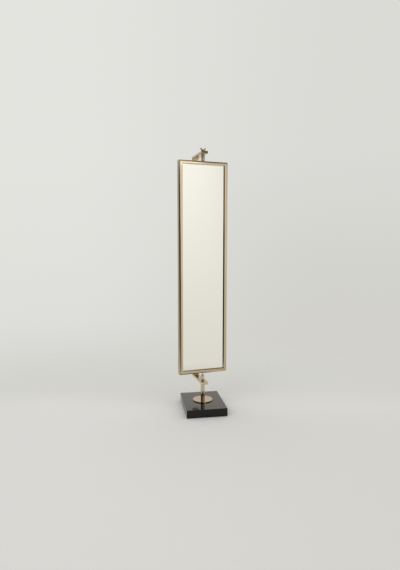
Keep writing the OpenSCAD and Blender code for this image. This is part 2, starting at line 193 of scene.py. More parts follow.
@dataclass(frozen=True)
class Metal(Finish):
    """Bare or lacquered metal, with marks of its working and a slightly uneven tone.

    Attributes:
        shade: the colour that its tone drifts to.
        grain: the way that its marks run.
        marks_mm: how far apart they are.
        cloud_mm: how wide the drifts in its tone are.
        uneven: how far its tone drifts, up to 1.
        relief_mm: how deep the marks are.
        gloss: least and greatest roughness, as shares of the main one.
    """

    shade: str = "#b49a78"
    grain: Grain = Grain.EVEN
    marks_mm: float = 1.2
    cloud_mm: float = 45.0
    uneven: float = 0.25
    relief_mm: float = 0.0006
    gloss: Pair = (0.75, 1.3)

    def shader(self, tree: Tree, place: Socket) -> Socket:
        """Metal whose tone drifts in clouds and whose gloss drifts with the working marks.

        Args:
            tree: the material's node tree.
            place: coordinates in metres, square to the piece.

        Returns:
            The shader's output socket.
        """
        stretched = add_node(tree, "ShaderNodeMapping", {"Vector": place, "Scale": self.grain.value})
        marks = add_node(
            tree, "ShaderNodeTexNoise",
            {
                "Vector": stretched.outputs[0], "Scale": per_metre(self.marks_mm),
                "Detail": 3.0, "Roughness": 0.6,
            },
        )
        clouds = add_node(
            tree, "ShaderNodeTexNoise", {"Vector": place, "Scale": per_metre(self.cloud_mm), "Detail": 4.0},
        )
        tone = add_node(
            tree, "ShaderNodeMapRange",
            {"Value": clouds.outputs["Fac"], "From Min": 0.42, "From Max": 0.72, "To Max": self.uneven},
        )
        colour = add_node(
            tree, "ShaderNodeMix", {0: tone.outputs[0], 6: linear(self.colour), 7: linear(self.shade)},
            data_type="RGBA",
        )
        gloss = add_node(
            tree, "ShaderNodeMapRange",
            {
                "Value": marks.outputs["Fac"], "From Min": 0.3, "From Max": 0.7,
                "To Min": self.roughness * self.gloss[0], "To Max": self.roughness * self.gloss[1],
            },
        )
        relief = add_node(
            tree, "ShaderNodeBump",
            {"Height": marks.outputs["Fac"], "Distance": self.relief_mm * MM, "Strength": 0.5},
        )
        return add_node(
            tree, "ShaderNodeBsdfPrincipled",
            {
                "Base Color": colour.outputs[2], "Metallic": 1.0,
                "Roughness": gloss.outputs[0], "Normal": relief.outputs[0],
            },
        ).outputs[0]


@dataclass(frozen=True)
class PolishedStone(Finish):
    """Fine-grained black stone, ground and polished.

    Attributes:
        fleck: the colour of its crystals.
        fleck_mm: how far apart they are.
        cloud_mm: how wide the patches are in which they are more and fewer.
        gloss: least and greatest roughness, as shares of the main one.
        ior: how strongly its polish mirrors.
    """

    fleck: str = "#181815"
    fleck_mm: float = 2.2
    cloud_mm: float = 70.0
    gloss: Pair = (0.7, 1.4)
    ior: float = 1.42

    def shader(self, tree: Tree, place: Socket) -> Socket:
        """Near black, with small grey crystals in it and a deep, even polish over them.

        Args:
            tree: the material's node tree.
            place: coordinates in metres, square to the piece.

        Returns:
            The shader's output socket.
        """
        crystals = add_node(
            tree, "ShaderNodeTexVoronoi", {"Vector": place, "Scale": per_metre(self.fleck_mm)}, feature="F1",
        )
        flecks = add_node(
            tree, "ShaderNodeMapRange",
            {"Value": crystals.outputs["Distance"], "From Min": 0.34, "From Max": 0.1, "To Max": 0.5},
        )
        clouds = add_node(
            tree, "ShaderNodeTexNoise", {"Vector": place, "Scale": per_metre(self.cloud_mm), "Detail": 6.0},
        )
        where = add_node(
            tree, "ShaderNodeMath", {0: flecks.outputs[0], 1: clouds.outputs["Fac"]}, operation="MULTIPLY",
        )
        colour = add_node(
            tree, "ShaderNodeMix", {0: where.outputs[0], 6: linear(self.colour), 7: linear(self.fleck)},
            data_type="RGBA",
        )
        gloss = add_node(
            tree, "ShaderNodeMapRange",
            {
                "Value": clouds.outputs["Fac"],
                "To Min": self.roughness * self.gloss[0], "To Max": self.roughness * self.gloss[1],
            },
        )
        return add_node(
            tree, "ShaderNodeBsdfPrincipled",
            {"Base Color": colour.outputs[2], "Roughness": gloss.outputs[0], "IOR": self.ior},
        ).outputs[0]


@dataclass(frozen=True)
class Cloth(Finish):
    """Pressed wool felt.

    Attributes:
        fibre_mm: how far apart its fibres are.
        fibre: the colour of the paler ones.
    """

    fibre_mm: float = 1.5
    fibre: str = "#4c4a47"

    def shader(self, tree: Tree, place: Socket) -> Socket:
        """Matte fibres with a pale fuzz at a low angle.

        Args:
            tree: the material's node tree.
            place: coordinates in metres, square to the piece.

        Returns:
            The shader's output socket.
        """
        fibres = add_node(
            tree, "ShaderNodeTexNoise",
            {"Vector": place, "Scale": per_metre(self.fibre_mm), "Detail": 5.0, "Roughness": 0.8},
        )
        colour = add_node(
            tree, "ShaderNodeMix", {0: fibres.outputs["Fac"], 6: linear(self.colour), 7: linear(self.fibre)},
            data_type="RGBA",
        )
        relief = add_node(
            tree, "ShaderNodeBump", {"Height": fibres.outputs["Fac"], "Distance": 0.4 * MM, "Strength": 0.8},
        )
        return add_node(
            tree, "ShaderNodeBsdfPrincipled",
            {
                "Base Color": colour.outputs[2], "Roughness": self.roughness,
                "Normal": relief.outputs[0], "Sheen Weight": 0.5,
            },
        ).outputs[0]


@dataclass(frozen=True)
class Plastic(Finish):
    """Moulded nylon, extruded rubber or a coat of paint.

    Attributes:
        mottle_mm: how wide the unevenness of its skin is.
        ior: how strongly it mirrors.
        gloss: least and greatest roughness, as shares of the main one.
    """

    mottle_mm: float = 3.0
    ior: float = 1.5
    gloss: Pair = (0.85, 1.15)

    def shader(self, tree: Tree, place: Socket) -> Socket:
        """A dull even skin with a faint mottle.

        Args:
            tree: the material's node tree.
            place: coordinates in metres, square to the piece.

        Returns:
            The shader's output socket.
        """
        mottle = add_node(
            tree, "ShaderNodeTexNoise", {"Vector": place, "Scale": per_metre(self.mottle_mm), "Detail": 3.0},
        )
        gloss = add_node(
            tree, "ShaderNodeMapRange",
            {
                "Value": mottle.outputs["Fac"],
                "To Min": self.roughness * self.gloss[0], "To Max": self.roughness * self.gloss[1],
            },
        )
        relief = add_node(
            tree, "ShaderNodeBump", {"Height": mottle.outputs["Fac"], "Distance": 0.03 * MM, "Strength": 0.6},
        )
        return add_node(
            tree, "ShaderNodeBsdfPrincipled",
            {
                "Base Color": linear(self.colour), "Roughness": gloss.outputs[0],
                "Normal": relief.outputs[0], "IOR": self.ior,
            },
        ).outputs[0]


@dataclass(frozen=True)
class StainedBoard(Finish):
    """Veneered board, stained dark and oiled.

    Attributes:
        ring: the colour of its growth lines.
        ring_mm: how far apart they are.
        pore_mm: how far apart its pores are.
    """

    ring: str = "#7f6247"
    ring_mm: float = 14.0
    pore_mm: float = 0.8

    def shader(self, tree: Tree, place: Socket) -> Socket:
        """Long wavy growth lines under a thin satin skin, with short open pores.

        Args:
            tree: the material's node tree.
            place: coordinates in metres, square to the piece.

        Returns:
            The shader's output socket.
        """
        along = add_node(tree, "ShaderNodeMapping", {"Vector": place, "Scale": (1.0, 1.0, 0.06)})
        # At scale 1 Blender's wave texture repeats every tau / 20.
        rings = add_node(
            tree, "ShaderNodeTexWave",
            {
                "Vector": along.outputs[0], "Scale": math.tau / 20 * per_metre(self.ring_mm),
                "Distortion": 24.0, "Detail": 3.0, "Detail Scale": 0.3,
            },
            bands_direction="X",
        )
        pores_place = add_node(tree, "ShaderNodeMapping", {"Vector": place, "Scale": (1.0, 1.0, 0.04)})
        pores = add_node(
            tree, "ShaderNodeTexNoise",
            {
                "Vector": pores_place.outputs[0], "Scale": per_metre(self.pore_mm),
                "Detail": 3.0, "Roughness": 0.7,
            },
        )
        depth = add_node(
            tree, "ShaderNodeMath", {0: rings.outputs["Fac"], 1: pores.outputs["Fac"]}, operation="MULTIPLY",
        )
        colour = add_node(
            tree, "ShaderNodeMix", {0: depth.outputs[0], 6: linear(self.colour), 7: linear(self.ring)},
            data_type="RGBA",
        )
        relief = add_node(
            tree, "ShaderNodeBump", {"Height": pores.outputs["Fac"], "Distance": 0.08 * MM, "Strength": 0.5},
        )
        return add_node(
            tree, "ShaderNodeBsdfPrincipled",
            {
                "Base Color": colour.outputs[2], "Roughness": self.roughness,
                "Normal": relief.outputs[0], "IOR": 1.48,
            },
        ).outputs[0]


@dataclass(frozen=True)
class Silvering(Finish):
    """Float glass, silvered on its back: a mirror under a clear sheet.

    Attributes:
        smear_mm: how wide its wiping marks are.
    """

    smear_mm: float = 60.0

    def shader(self, tree: Tree, place: Socket) -> Socket:
        """A sharp reflection that faint wiping marks barely soften.

        Args:
            tree: the material's node tree.
            place: coordinates in metres, square to the piece.

        Returns:
            The shader's output socket.
        """
        smears = add_node(
            tree, "ShaderNodeTexNoise",
            {"Vector": place, "Scale": per_metre(self.smear_mm), "Detail": 5.0, "Distortion": 1.5},
        )
        gloss = add_node(
            tree, "ShaderNodeMapRange",
            {"Value": smears.outputs["Fac"], "From Min": 0.35, "From Max": 0.75, "To Max": self.roughness},
        )
        return add_node(
            tree, "ShaderNodeBsdfPrincipled",
            {"Base Color": linear(self.colour), "Metallic": 1.0, "Roughness": gloss.outputs[0]},
        ).outputs[0]


@dataclass(frozen=True)
class GlassEdge(Finish):
    """The ground edge of float glass.

    Attributes:
        frost_mm: how far apart the grinder's marks are.
    """

    frost_mm: float = 0.5

    def shader(self, tree: Tree, place: Socket) -> Socket:
        """Pale sea green, frosted by the grinding.

        Args:
            tree: the material's node tree.
            place: coordinates in metres, square to the piece.

        Returns:
            The shader's output socket.
        """
        frost = add_node(
            tree, "ShaderNodeTexNoise", {"Vector": place, "Scale": per_metre(self.frost_mm), "Detail": 2.0},
        )
        relief = add_node(
            tree, "ShaderNodeBump", {"Height": frost.outputs["Fac"], "Distance": 0.02 * MM, "Strength": 0.5},
        )
        return add_node(
            tree, "ShaderNodeBsdfPrincipled",
            {
                "Base Color": linear(self.colour), "Roughness": self.roughness, "IOR": 1.52,
                "Normal": relief.outputs[0],
            },
        ).outputs[0]


# Pale brass, polished and lacquered: a soft straw colour that mirrors the room a little blurred.
BRASS_UP, BRASS_ACROSS, BRASS_DEPTH = (
    Metal(f"polished_brass_{grain.name.lower()}", "#d4c5a9", 0.05, TURN, "#c6b28e", grain)
    for grain in (Grain.UP, Grain.ACROSS, Grain.DEPTH)
)
# Brass turned on a lathe and polished: the same colour with fine rings round the axis.
BRASS_TURNED = Metal("turned_brass", "#d2c2a6", 0.07, 0.0, "#c0aa86", Grain.ROUND, marks_mm=0.8)
# Brass of the foot disc: nearly the same hue as the drawn tube, but darker.
BRASS_DISC = Metal("disc_brass", "#a89a84", 0.09, 0.0, "#a59078", marks_mm=3.0)
# Brass cast in sand and buffed by hand: duller, with a broken sheen.
BRASS_CAST = Metal(
    "cast_brass", "#b3a68c", 0.22, TURN, "#8a7b60",
    marks_mm=1.6, cloud_mm=8.0, uneven=0.5, relief_mm=0.03,
)
# Sawn brass inside the frame: brown and dull.
BRASS_RAW = Metal(
    "sawn_brass", "#a98f66", 0.42, TURN, "#7d6544", Grain.ACROSS,
    marks_mm=0.7, cloud_mm=12.0, uneven=0.7, relief_mm=0.03,
)
# Sintered bronze: brown, dull and porous.
BRONZE = Metal(
    "sintered_bronze", "#96744e", 0.45, 0.0, "#6d5236",
    marks_mm=0.6, cloud_mm=3.0, uneven=0.6, relief_mm=0.03,
)
# Zinc-plated steel: bluish grey with a clouded shine.
ZINC = Metal(
    "zinc_plated_steel", "#b6b9bd", 0.30, TURN, "#8f9296",
    marks_mm=0.9, cloud_mm=4.0, uneven=0.8, relief_mm=0.01,
)
# Black stone, polished: black where it mirrors nothing, grey where it mirrors the wall.
STONE = PolishedStone("polished_black_stone", "#040403", 0.05)
# Wool felt, pressed: matte and nearly black.
FELT = Cloth("pressed_wool_felt", "#2b2a28", 0.95)
# Natural nylon, moulded: cream white with a dull skin.
NYLON = Plastic("moulded_nylon", "#e6e2d6", 0.45, ior=1.53)
# Rubber strip, extruded: black and dull.
RUBBER = Plastic("extruded_rubber", "#2e2b28", 0.7, TURN, 2.0, 1.52)
# Veneered board, stained: walnut brown with a satin skin.
BOARD = StainedBoard("stained_veneer_board", "#6e5640", 0.42, TURN)
# Silvered float glass: mirrors sharply, with a trace of warmth.
MIRROR = Silvering("silvered_float_glass", "#f9f6ea", 0.03, TURN)
# Paint that protects the silver on the back of the glass: flat grey.
BACK_PAINT = Plastic("mirror_backing_paint", "#7d8284", 0.6, TURN, 6.0)
# Ground glass: pale green and frosted.
GLASS_EDGE = GlassEdge("ground_glass_edge", "#9fc0b2", 0.35, TURN)


def fillet(corners: Outline, radius: float, closed: bool = False, steps: int = 4) -> Outline:
    """Rounds the corners of an outline with true arcs.

    Args:
        corners: the corners in order.
        radius: the radius at each of them, cut down where a side is too short for it.
        closed: whether the last corner joins the first.
        steps: how many straight pieces stand for an arc.

    Returns:
        The outline with its arcs.
    """
    straight, folded, share = math.radians(89), math.radians(1), 0.49
    out: Outline = []
    count = len(corners)
    for i, point in enumerate(corners):
        corner = Vector(point)
        if not closed and i in (0, count - 1):
            out.append(tuple(corner))
            continue
        back = Vector(corners[i - 1]) - corner
        ahead = Vector(corners[(i + 1) % count]) - corner
        half = back.angle(ahead) / 2
        if half > straight or half < folded:
            out.append(tuple(corner))
            continue
        reach = min(radius / math.tan(half), share * back.length, share * ahead.length)
        fitted = reach * math.tan(half)
        middle = corner + (back.normalized() + ahead.normalized()).normalized() * fitted / math.sin(half)
        first = corner + back.normalized() * reach - middle
        last = corner + ahead.normalized() * reach - middle
        start = math.atan2(first.y, first.x)
        swing = math.atan2(last.y, last.x) - start
        swing = (swing + math.pi) % math.tau - math.pi
        angles = [start + swing * s / steps for s in range(steps + 1)]
        out += [(middle.x + fitted * math.cos(a), middle.y + fitted * math.sin(a)) for a in angles]
    return out


def arc(centre: Pair, radius: float, first_deg: float, last_deg: float, steps: int) -> Outline:
    """Points of an arc from its first angle to its last, with so many straight pieces."""
    angles = [math.radians(first_deg + (last_deg - first_deg) * i / steps) for i in range(steps + 1)]
    return [(centre[0] + radius * math.cos(a), centre[1] + radius * math.sin(a)) for a in angles]


def round_rect(width: float, height: float, radius: float) -> Outline:
    """Outline of a rectangle with round corners, centred."""
    a, b = width / 2, height / 2
    return fillet([(-a, -b), (a, -b), (a, b), (-a, b)], radius, closed=True, steps=6)


def tube_outline(inner: float, outer: float, low: float, high: float) -> Outline:
    """Outline of radius and height for a plain ring or tube."""
    return [(inner, low), (outer, low), (outer, high), (inner, high)]


def grooved_side(radius: float, low: float, high: float) -> Outline:
    """Side of a turned piece, with a ring cut in near each end.

    Args:
        radius: the piece's radius.
        low: height of its lower end.
        high: height of its upper end.

    Returns:
        Points of radius and height, from the lower end to the upper.
    """
    sunk = radius - GROOVE
    side: Outline = [(radius, low)]
    for z in (low + GROOVE_AT, high - GROOVE_AT):
        side += [(radius, z - GROOVE), (sunk, z - GROOVE / 2), (sunk, z + GROOVE / 2), (radius, z + GROOVE)]
    side.append((radius, high))
    return side


def as_object(name: str, bm: WorkMesh, place: Matrix = IN_PLACE, sharp_deg: float = 32.0) -> Piece:
    """Turns a working mesh into an object at the origin, smooth but for its sharp edges.

    Args:
        name: the object's name.
        bm: the working mesh, which is freed.
        place: where the mesh goes, in the shared frame.
        sharp_deg: edges that bend more than this stay sharp.

    Returns:
        The new object, linked to the scene.
    """
    bmesh.ops.remove_doubles(bm, verts=bm.verts, dist=SAME_POINT)
    bmesh.ops.transform(bm, matrix=place, verts=bm.verts)
    bmesh.ops.recalc_face_normals(bm, faces=bm.faces)
    for face in bm.faces:
        face.smooth = True
    limit = math.radians(sharp_deg)
    for edge in bm.edges:
        edge.smooth = edge.is_manifold and edge.calc_face_angle(0.0) < limit
    mesh = bpy.data.meshes.new(name)
    bm.to_mesh(mesh)
    bm.free()
    made = bpy.data.objects.new(name, mesh)
    bpy.context.scene.collection.objects.link(made)
    flats = made.modifiers.new("flats_stay_flat", "WEIGHTED_NORMAL")
    flats.keep_sharp = True
    return made


def skin(bm: WorkMesh, rings: Sequence[Ring], loop: bool = False, caps: bool = False) -> None:
    """Stretches faces from ring to ring.

    Args:
        bm: the working mesh that gets them.
        rings: rings of the same number of points.
        loop: whether the last ring joins the first, as in a hollow tube.
        caps: whether the first and last ring are closed with a face.
    """
    made = [[bm.verts.new(point) for point in ring] for ring in rings]
    pairs = list(zip(made, made[1:])) + ([(made[-1], made[0])] if loop else [])
    for one, two in pairs:
        for i in range(len(one)):
            j = (i + 1) % len(one)
            bm.faces.new((one[i], one[j], two[j], two[i]))
    if caps:
        bm.faces.new(list(reversed(made[0])))
        bm.faces.new(made[-1])


def revolve(bm: WorkMesh, profile: Outline, around: int = 96, loop: bool = False) -> None:
    """Turns a profile of radius and height round the z axis.

    Args:
        bm: the working mesh that gets the faces.
        profile: the profile's points.
        around: how many faces make up the turn.
        loop: whether the profile closes on itself.
    """
    angles = [math.tau * i / around for i in range(around)]
    rings = [[Vector((r * math.cos(a), r * math.sin(a), z)) for a in angles] for r, z in profile]
    skin(bm, rings, loop)


def turned_piece(name: str, corners: Outline) -> Piece:
    """A piece turned on a lathe, with its edges broken.

    Args:
        name: the piece's name.
        corners: its closed outline of radius and height.

    Returns:
        The piece.
    """
    bm = bmesh.new()
    revolve(bm, fillet(corners, BROKEN_EDGE, closed=True, steps=3), loop=True)
    return as_object(name, bm)


@dataclass
class SubAssembly:
    """A group of pieces that are made and dressed together."""

    turn: Matrix = field(default_factory=lambda: Matrix.Rotation(TURN, 4, "Z"))

    def span(self, node: str) -> Pair:
        """Lowest and highest point of a CAD node."""
        low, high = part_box(node)
        return low.z, high.z

    def fit(self, piece: Piece, body: str, slot: str, *finishes: Finish, stands_for: str) -> None:
        """Gives a new piece its finish, its body and the node that it stands for.

        Args:
            piece: the new piece.
            body: the CAD body that it rides on.
            slot: not used.
            *finishes: its finishes, in the order of its faces' material numbers.
            stands_for: the CAD node that it replaces.
        """
        for finish in finishes:
            piece.data.materials.append(finish.material())
        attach(piece, body)
        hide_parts(stands_for)
        LOG.info("%s rides on %s, stands for %s", piece.name, body, stands_for)

    def dress(self, *nodes: str, finish: Finish) -> None:
        """Gives CAD nodes that stay a finish of their own.

        Args:
            *nodes: the nodes.
            finish: their finish.
        """
        for node in nodes:
            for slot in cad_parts[node].material_slots:
                slot.material = finish.material()
            LOG.info("%s keeps its shape, finish %s", node, finish.name)


@dataclass
class Base(SubAssembly):
    """Stone block, foot disc, post and the socket that carries the mirror's pin.

    Attributes:
        disc_foot_in: how far in the disc's lower edge is broken.
        disc_foot_h: how far up it is.
        disc_side_from: height where its plain side starts.
        disc_rim: how far in from the side its upper rounding may reach.
        disc_edge: radius of its upper edge.
        bore_r: radius of the socket's bore, which takes the pin.
        rod_r: radius of the hole for the tie rod.
    """

    disc_r: float = 70.5 * MM
    disc_bore_r: float = 8.05 * MM
    disc_foot_in: float = 0.4 * MM
    disc_foot_h: float = 0.6 * MM
    disc_side_from: float = 1 * MM
    disc_rim: float = 8 * MM
    disc_edge: float = 1.5 * MM
    disc_around: int = 160
    post_r: float = 14 * MM
    post_wall: float = 2 * MM
    socket_r: float = 11.25 * MM
    bore_r: float = 4.55 * MM
    bore_depth: float = 18 * MM
    rod_r: float = 5 * MM

    def build(self) -> None:
        """Makes the visible pieces and dresses the ones that stay."""
        self.foot_disc()
        self.post()
        self.socket()
        self.dress("base_block", finish=STONE)
        self.dress("felt_pad", finish=FELT)
        self.dress("post_foot_plug", "post_head_plug", finish=BRASS_TURNED)
        self.dress("tie_rod", "base_washer", "base_nut", finish=ZINC)
        self.dress("lower_slip_washer", "upper_slip_washer", finish=NYLON)
        self.dress("thrust_disc", finish=BRONZE)

    def foot_disc(self) -> None:
        """Disc with a rounded upper edge, whose lower edge is broken."""
        low, high = self.span("flange_disc")
        outer, inner = self.disc_r, self.disc_bore_r
        foot = [(inner, low), (outer - self.disc_foot_in, low), (outer, low + self.disc_foot_h)]
        side = [(outer, low + self.disc_side_from), (outer, high), (outer - self.disc_rim, high)]
        bm = bmesh.new()
        profile = foot + fillet(side, self.disc_edge, steps=6) + [(inner, high)]
        revolve(bm, profile, self.disc_around, loop=True)
        piece = as_object("foot_disc", bm)
        self.fit(piece, "base", "disc_brass", BRASS_DISC, stands_for="flange_disc")

    def post(self) -> None:
        """Drawn tube with its ends broken."""
        outline = tube_outline(self.post_r - self.post_wall, self.post_r, *self.span("post_tube"))
        piece = turned_piece("post", outline)
        self.fit(piece, "base", "polished_brass", BRASS_TURNED, stands_for="post_tube")

    def socket(self) -> None:
        """Turned socket with a ring cut in near each end."""
        low, high = self.span("pivot_socket")
        bore = high - self.bore_depth
        inner = [(self.bore_r, high), (self.bore_r, bore), (self.rod_r, bore), (self.rod_r, low)]
        piece = turned_piece("socket", grooved_side(self.socket_r, low, high) + inner)
        self.fit(piece, "base", "turned_brass", BRASS_TURNED, stands_for="pivot_socket")


@dataclass
class Bracket(SubAssembly):
    """The C of flat tube that carries the mirror.

    Attributes:
        reach: distance from the pivot axis to the upright's outer face.
        lower_front: how far the lower arm reaches in front of that axis.
        upper_front: how far the upper arm does.
        seam: width and depth of the lines at mitres and caps.
        cap: thickness of the plates that close the arms.
        cap_soft: size of their soft edges.
        plug_play: play between the tube and the plug behind a plate.
    """

    width: float = 46 * MM
    thick: float = 18 * MM
    wall: float = 2 * MM
    edge: float = 2.5 * MM
    inner_edge: float = 0.5 * MM
    reach: float = 183 * MM
    lower_front: float = 52 * MM
    upper_front: float = 36 * MM
    seam: float = 0.3 * MM
    cap: float = 2 * MM
    cap_soft: float = 0.6 * MM
    plug_play: float = 0.05 * MM
    plug_l: float = 8 * MM
    washer_bore_r: float = 5.4 * MM
    washer_r: float = 12 * MM

    def build(self) -> None:
        """Makes the tubes, caps and washer, and dresses the sleeves."""
        low = self.span("lower_arm")
        high = self.span("upper_arm")
        self.arm("lower_arm_tube", "lower_arm", self.lower_front, *low, bend=1)
        self.arm("upper_arm_tube", "upper_arm", self.upper_front, *high, bend=-1)
        self.back(low[0], high[1])
        self.end_cap("lower_arm_end", "lower_arm_cap", self.lower_front, low[0])
        self.end_cap("upper_arm_end", "upper_arm_cap", self.upper_front, high[0])
        self.washer()
        self.dress("lower_arm_sleeve", "upper_arm_sleeve", finish=BRASS_TURNED)

    def tube(self, name: str, place: Callable[[float, float, bool, float], Vector]) -> Piece:
        """A hollow length of tube with a fine seam at each end.

        Args:
            name: the piece's name.
            place: gives the point for an outline point (u, v), at the far end or the near one,
                and so far short of that end.

        Returns:
            The tube.
        """
        outer = round_rect(self.width, self.thick, self.edge)
        sunk = round_rect(self.width - 2 * self.seam, self.thick - 2 * self.seam, self.edge - self.seam)
        inner = round_rect(self.width - 2 * self.wall, self.thick - 2 * self.wall, self.inner_edge)
        stations = (
            (sunk, False, 0.0), (outer, False, self.seam), (outer, True, self.seam), (sunk, True, 0.0),
            (inner, True, 0.0), (inner, False, 0.0),
        )
        bm = bmesh.new()
        skin(bm, [[place(u, v, far, short) for u, v in ring] for ring, far, short in stations], loop=True)
        return as_object(name, bm, self.turn)

    def arm(self, name: str, node: str, front: float, low: float, high: float, bend: int) -> None:
        """An arm, square at its front end and mitred at the back.

        Args:
            name: the piece's name.
            node: the CAD node that it stands for.
            front: how far it reaches in front of the pivot axis.
            low: height of its lower face.
            high: height of its upper face.
            bend: 1 where the upright goes up from it, -1 where it goes down.
        """
        middle = (low + high) / 2

        def place(u: float, v: float, far: bool, short: float) -> Vector:
            """Point of the arm's outline, short of its mitre if far, or else of its front end."""
            y = self.reach - self.thick / 2 - bend * v - short if far else -front + self.cap + short
            return Vector((u, y, middle + v))

        self.fit(self.tube(name, place), "bracket", "polished_brass", BRASS_DEPTH, stands_for=node)

    def back(self, low: float, high: float) -> None:
        """The upright, mitred at both ends.

        Args:
            low: height of the lower arm's lower face.
            high: height of the upper arm's upper face.
        """
        middle = self.reach - self.thick / 2

        def place(u: float, v: float, far: bool, short: float) -> Vector:
            """Point of the upright's outline.

            Args:
                u: across the upright.
                v: from its front face to its back.
                far: whether it is at the upper mitre.
                short: how far it is short of the end.

            Returns:
                The point, before the bracket is turned.
            """
            inward = self.thick / 2 - v
            z = high - inward - short if far else low + inward + short
            return Vector((u, middle + v, z))

        piece = self.tube("upright_tube", place)
        self.fit(piece, "bracket", "polished_brass", BRASS_UP, stands_for="upright")

    def end_cap(self, name: str, node: str, front: float, low: float) -> None:
        """Plate that closes an arm, with soft edges and a plug behind it.

        Args:
            name: the piece's name.
            node: the CAD node that it stands for.
            front: how far the plate's face is in front of the pivot axis.
            low: height of the arm's lower face.
        """
        middle = low + self.thick / 2
        soft, edge, inner_edge = self.cap_soft, self.edge, self.inner_edge
        plug = self.wall + self.plug_play
        # How far in each ring lies, the radius at its corners, and how far behind the face it is.
        stations = (
            (2 * soft, edge, 0.0), (0.8 * soft, edge, 0.15 * soft), (0.2 * soft, edge, 0.6 * soft),
            (0.0, edge, 1.2 * soft), (0.0, edge, self.cap),
            (plug, inner_edge, self.cap), (plug, inner_edge, self.cap + self.plug_l),
        )
        rings = []
        for inset, corner, depth in stations:
            outline = round_rect(self.width - 2 * inset, self.thick - 2 * inset, corner)
            rings.append([Vector((u, depth - front, middle + v)) for u, v in outline])
        bm = bmesh.new()
        skin(bm, rings, caps=True)
        piece = as_object(name, bm, self.turn)
        self.fit(piece, "bracket", "polished_brass", BRASS_ACROSS, stands_for=node)

    def washer(self) -> None:
        """Turned washer under the wing nut."""
        outline = tube_outline(self.washer_bore_r, self.washer_r, *self.span("clamp_washer"))
        piece = turned_piece("clamping_washer", outline)
        self.fit(piece, "bracket", "turned_brass", BRASS_TURNED, stands_for="clamp_washer")


